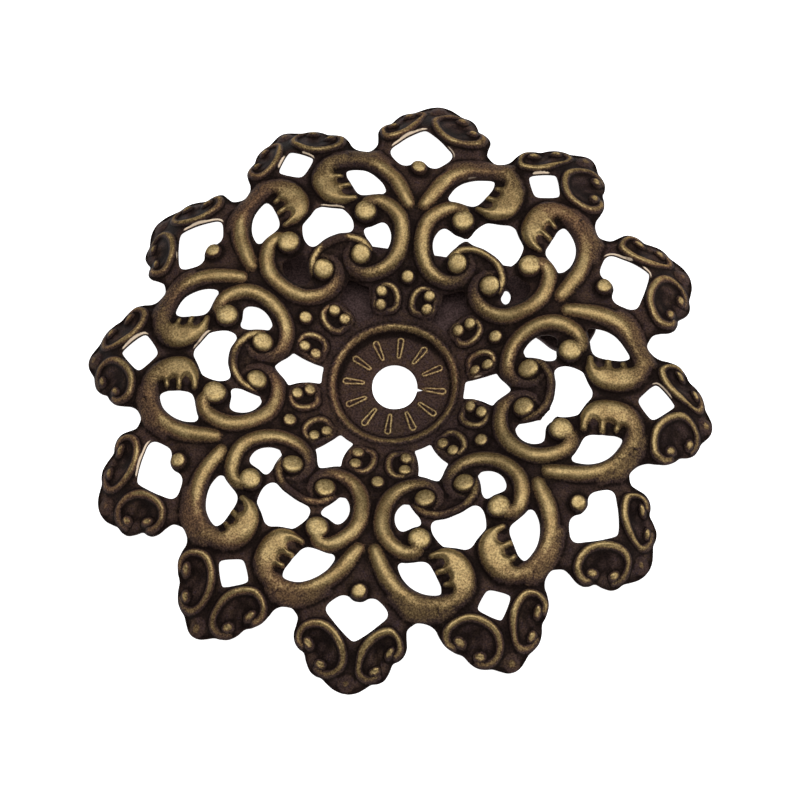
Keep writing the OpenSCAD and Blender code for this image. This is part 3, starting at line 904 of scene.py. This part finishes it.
# painted highlight: a bright glint runs just inside the cut
index, near = nearest_cut(x[:nu], y[:nu])
rim = np.zeros(len(verts))
rim[:nu] = lit[index] * np.clip(np.minimum((near - 0.05) / 0.09, (0.25 - near) / 0.11), 0, 1)

# bend the petals out of true and let everything wander a little
r, a = np.hypot(x, y), np.degrees(np.arctan2(y, x))
for angle, near, far, tip, sideways in PETALS_BENT:
    off = (a - angle + 180) % 360 - 180
    w = 1 - ease(9.0, 16.0, np.abs(off))
    outward = w * np.interp(r, BENT_R, (0, near, far, tip))
    across = w * ease(*BENT_R[:2], r) * sideways
    t = math.radians(angle)
    verts[:, 0] += outward * math.cos(t) - across * math.sin(t)
    verts[:, 1] += outward * math.sin(t) + across * math.cos(t)
half = np.vstack([np.array(EDGE_MIDDLE), turned(np.array(EDGE_BETWEEN) * (1, -1), 30)])
w = np.zeros(len(x))
w[r > 21.5] = 1 - ease(0.4, 2.6, path_distance(np.stack([fx, fy], 1)[r > 21.5], spline(half, False, 0.3)))
angle, outward, sideways = np.array(EDGE_BENT).T
outward, sideways = w * np.interp(a % 360, angle, outward), w * np.interp(a % 360, angle, sideways)
verts[:, 0] += outward * np.cos(np.radians(a)) - sideways * np.sin(np.radians(a))
verts[:, 1] += outward * np.sin(np.radians(a)) + sideways * np.cos(np.radians(a))
for far, angle, outward, sideways in PLACES_BENT:
    t = math.radians(angle)
    w = np.exp(-((x - far * math.cos(t)) ** 2 + (y - far * math.sin(t)) ** 2) / 2.2**2)
    verts[:, 0] += w * (outward * math.cos(t) - sideways * math.sin(t))
    verts[:, 1] += w * (outward * math.sin(t) + sideways * math.cos(t))
verts[:, 0] += 0.05 * lattice_noise(x, y, 4.2, 21) + 0.018 * lattice_noise(x, y, 1.3, 22)
verts[:, 1] += 0.05 * lattice_noise(x, y, 4.2, 23) + 0.018 * lattice_noise(x, y, 1.3, 24)
verts[:, 2] = np.maximum(verts[:, 2], 0.012)

flower = mesh_object(
    "flower_sheet", verts, faces, {"worn": worn, "cap": cap, "low": low, "rim": rim, "pale": 0 * rim}
)

# ---------------------------------------------------------------------------------------------
# The strip behind
# ---------------------------------------------------------------------------------------------

def straight_loop(rows, step, soften):
    """The corners joined by straight lines, rounded a little."""
    p = np.array(rows, float)
    ring = []
    for a, b in zip(p, np.roll(p, -1, 0)):
        n = max(2, int(np.hypot(*(b - a)) / step))
        ring.append(a + (np.arange(n) / n)[:, None] * (b - a))
    ring = np.vstack(ring)
    for _ in range(soften):
        ring = 0.25 * np.roll(ring, 1, 0) + 0.5 * ring + 0.25 * np.roll(ring, -1, 0)
    return anticlockwise(ring)


a = np.arange(20) * 2 * math.pi / 20
hole = np.stack([STRIP_HOLE[3] * np.cos(a), STRIP_HOLE[2] * np.sin(a)], 1)
strip_loops = {
    "edge": straight_loop(STRIP, 0.25, 6),
    "hole": np.array(STRIP_HOLE[:2]) + turned(hole, STRIP_HOLE[4]),
}
s_verts, s_faces, _ = build(
    strip_loops,
    0.5,
    lambda x, y, i, j: np.ones(len(x), bool),
    lambda x, y: np.full(len(x), STRIP_Z[1]) + 0.02 * lattice_noise(x, y, 2.0, 31),
    lambda x, y: np.full(len(x), STRIP_Z[0]) + 0.0 * x,
    0.8,
)
zero = np.zeros(len(s_verts))
# pale: painted light, a paler patina that lifts the strip out of the flower's shade
strip = mesh_object(
    "back_strip", s_verts, s_faces, {"worn": zero, "cap": zero, "low": zero, "rim": zero, "pale": zero + 1}
)


# ---------------------------------------------------------------------------------------------
# Material
# ---------------------------------------------------------------------------------------------


class Nodes:
    def __init__(self, material):
        material.use_nodes = True
        self.tree = material.node_tree
        self.tree.nodes.clear()

    def add(self, kind, **inputs):
        n = self.tree.nodes.new(kind)
        for key, value in inputs.items():
            if key.startswith("_"):
                setattr(n, key[1:], value)
                continue
            socket = n.inputs[int(key[1:])] if key[0] == "i" and key[1:].isdigit() else n.inputs[key]
            if isinstance(value, bpy.types.NodeSocket):
                self.tree.links.new(value, socket)
            else:
                socket.default_value = value
        return n

    def value(self, name):
        n = self.add("ShaderNodeAttribute")
        n.attribute_name = name
        return n.outputs["Fac"]

    def math(self, op, a, b=0.0, c=0.0, clamp=False):
        n = self.add("ShaderNodeMath", i0=a, i1=b, i2=c)
        n.operation = op
        n.use_clamp = clamp
        return n.outputs[0]

    def mix(self, fac, a, b, blend="MIX"):
        n = self.tree.nodes.new("ShaderNodeMix")
        n.data_type = "RGBA"
        n.blend_type = blend
        for socket, value in ((n.inputs[0], fac), (n.inputs[6], a), (n.inputs[7], b)):
            if isinstance(value, bpy.types.NodeSocket):
                self.tree.links.new(value, socket)
            elif hasattr(value, "__len__"):
                socket.default_value = (*value, 1.0)
            else:
                socket.default_value = value
        return n.outputs[2]

    def span(self, x, a, b, c=0.0, d=1.0):
        n = self.add("ShaderNodeMapRange", i0=x, i1=a, i2=b, i3=c, i4=d)
        n.interpolation_type = "SMOOTHSTEP"
        return n.outputs[0]

    def noise(self, where, scale, detail=2.0, rough=0.5, distortion=0.0):
        n = self.add(
            "ShaderNodeTexNoise",
            Vector=where,
            Scale=scale,
            Detail=detail,
            Roughness=rough,
            Distortion=distortion,
        )
        return n.outputs[0]


def srgb(*c):
    return tuple(((v / 255 + 0.055) / 1.055) ** 2.4 if v > 10 else v / 255 / 12.92 for v in c)


def antique_brass(name):
    mat = bpy.data.materials.new(name)
    g = Nodes(mat)
    where = g.add("ShaderNodeTexCoord").outputs["Object"]
    worn, cap, low, rim, pale = (g.value(n) for n in ("worn", "cap", "low", "rim", "pale"))

    fine = g.noise(where, 6000, 2.0, 0.6)
    grain = g.noise(where, 3300, 2.0, 0.6)
    blotch = g.noise(where, 620, 3.0, 0.6)
    wide = g.noise(where, 120, 2.0, 0.5)

    # where the patina is rubbed through, with a broken edge
    loose = g.math("MULTIPLY_ADD", g.math("SUBTRACT", blotch, 0.5), 0.34, worn)
    loose = g.math("MULTIPLY_ADD", g.math("SUBTRACT", grain, 0.5), 0.40, loose)
    loose = g.math("MULTIPLY_ADD", g.math("SUBTRACT", fine, 0.5), 0.50, loose)
    bare = g.span(loose, 0.06, 0.98)

    brown = g.mix(g.span(wide, 0.35, 0.65), srgb(105, 79, 58), srgb(97, 79, 54))
    tan = g.mix(g.span(blotch, 0.3, 0.7), srgb(137, 114, 77), srgb(151, 130, 90))
    gold = g.mix(g.span(grain, 0.3, 0.7), srgb(146, 125, 84), srgb(168, 147, 104))
    brass = g.mix(cap, tan, gold)
    patina = g.mix(g.span(wide, 0.35, 0.65), srgb(63, 47, 41), srgb(55, 42, 39))
    patina = g.mix(g.span(blotch, 0.45, 0.72, 0.0, 0.6), patina, srgb(66, 51, 38))
    patina = g.mix(g.span(grain, 0.50, 0.72, 0.0, 0.6), patina, srgb(50, 40, 48))
    # painted light: the strip behind lies in the flower's shade and is given a paler patina
    patina = g.mix(pale, patina, srgb(67, 53, 52))
    # darker patina and painted shade in the hollows and along the far rim of the sunk disc
    patina = g.mix(g.span(low, 0.05, 0.80, 0.0, 0.92), patina, srgb(18, 12, 11))
    colour = g.mix(g.span(bare, 0.0, 0.45), patina, brown)
    colour = g.mix(g.span(bare, 0.35, 0.95), colour, brass)
    spread = g.span(bare, 0.0, 0.6, 0.46, 0.36)
    speck = g.math("MULTIPLY_ADD", g.span(fine, 0.30, 0.70, -1.0, 1.0), spread, 1.0)
    tone = g.add("ShaderNodeCombineColor", i0=speck, i1=speck, i2=speck).outputs[0]
    colour = g.mix(1.0, colour, tone, "MULTIPLY")
    # painted highlight: a near-white glint along the lit cut edges, not metallic
    edge = g.math("MULTIPLY", g.span(rim, 0.12, 0.55), g.span(blotch, 0.30, 0.46, 0.4, 1.0))
    colour = g.mix(edge, colour, srgb(228, 206, 180))

    metal = g.math("MULTIPLY", g.span(bare, 0.10, 0.70, 0.0, 0.95), g.math("SUBTRACT", 1.0, edge))
    rough = g.span(bare, 0.0, 1.0, 0.60, 0.46)
    rough = g.math("MULTIPLY_ADD", g.math("SUBTRACT", grain, 0.5), 0.25, rough)

    height = g.math("MULTIPLY_ADD", grain, 0.5, g.math("MULTIPLY", fine, 0.5))
    bump = g.add("ShaderNodeBump", Strength=0.35, Distance=0.00005, Height=height)
    shader = g.add("ShaderNodeBsdfPrincipled", Roughness=rough, Metallic=metal)
    g.tree.links.new(colour, shader.inputs["Base Color"])
    g.tree.links.new(bump.outputs[0], shader.inputs["Normal"])
    shader.inputs["Specular IOR Level"].default_value = 0.03
    shader.inputs["Specular Tint"].default_value = (0.75, 0.62, 0.45, 1)
    out = g.add("ShaderNodeOutputMaterial")
    g.tree.links.new(shader.outputs[0], out.inputs[0])
    return mat


brass = antique_brass("antique_brass_worn")
for piece in (flower, strip):
    piece.data.materials.append(brass)
    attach(piece, "root")
    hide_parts("flower_stamping")

# ---------------------------------------------------------------------------------------------
# Floor, light and camera
# ---------------------------------------------------------------------------------------------

bpy.ops.mesh.primitive_plane_add(size=3.0, location=(0, 0, 0))
floor = bpy.context.object
floor.name = "floor"
pale = bpy.data.materials.new("floor_pale")
g = Nodes(pale)
base = g.add("ShaderNodeBsdfDiffuse")
base.inputs["Color"].default_value = (0.82, 0.82, 0.82, 1)
glow = g.add("ShaderNodeEmission")
glow.inputs["Color"].default_value = (1, 1, 1, 1)
glow.inputs["Strength"].default_value = 1.0
both = g.add("ShaderNodeAddShader")
g.tree.links.new(base.outputs[0], both.inputs[0])
g.tree.links.new(glow.outputs[0], both.inputs[1])
out_node = g.add("ShaderNodeOutputMaterial")
g.tree.links.new(both.outputs[0], out_node.inputs[0])
floor.data.materials.append(pale)

E, RHO, A0 = (math.radians(v) for v in (67.68, 9.44, 106.45))
DIST = 0.2884
ahead = Vector((math.cos(A0), math.sin(A0), 0))
look = math.cos(E) * ahead - Vector((0, 0, math.sin(E)))
right0 = ahead.cross(Vector((0, 0, 1)))
up0 = math.sin(E) * ahead + Vector((0, 0, math.cos(E)))
right = math.cos(RHO) * right0 - math.sin(RHO) * up0
up = math.sin(RHO) * right0 + math.cos(RHO) * up0
spot = Vector((0, 0, 3.3 * MM)) - DIST * look

camera = bpy.data.cameras.new("camera")
camera.lens = 3036 / 800 * 36
camera.sensor_width = 36
camera.shift_x = 7 / 800
camera.shift_y = -21 / 800
camera.clip_start, camera.clip_end = 0.01, 10
cam = bpy.data.objects.new("camera", camera)
bpy.context.scene.collection.objects.link(cam)
cam.matrix_world = Matrix(
    (
        (right.x, up.x, -look.x, spot.x),
        (right.y, up.y, -look.y, spot.y),
        (right.z, up.z, -look.z, spot.z),
        (0, 0, 0, 1),
    )
)
bpy.context.scene.camera = cam


def softbox(name, toward, distance, size, power):
    """An area light that faces the object. toward is its direction in the camera's frame."""
    d = (toward[0] * right + toward[1] * up - toward[2] * look).normalized()
    light = bpy.data.lights.new(name, "AREA")
    light.shape = "RECTANGLE"
    light.size, light.size_y = size
    light.energy = power
    obj = bpy.data.objects.new(name, light)
    bpy.context.scene.collection.objects.link(obj)
    obj.location = d * distance
    obj.rotation_mode = "QUATERNION"
    obj.rotation_quaternion = (-d).to_track_quat("-Z", "Y")
    return obj


softbox("top", (0.0, 0.50, 0.87), 0.70, (0.8, 0.7), 4.4)
softbox("side", (0.9, 0.25, 0.7), 0.70, (0.4, 0.4), 1.4)

world = bpy.data.worlds.new("studio")
bpy.context.scene.world = world
world.use_nodes = True
world.node_tree.nodes["Background"].inputs["Color"].default_value = (1, 1, 1, 1)
world.node_tree.nodes["Background"].inputs["Strength"].default_value = 0.24

scene = bpy.context.scene
scene.view_settings.view_transform = "Standard"
scene.view_settings.look = "None"
scene.view_settings.exposure = 0.0
scene.view_settings.gamma = 1.0
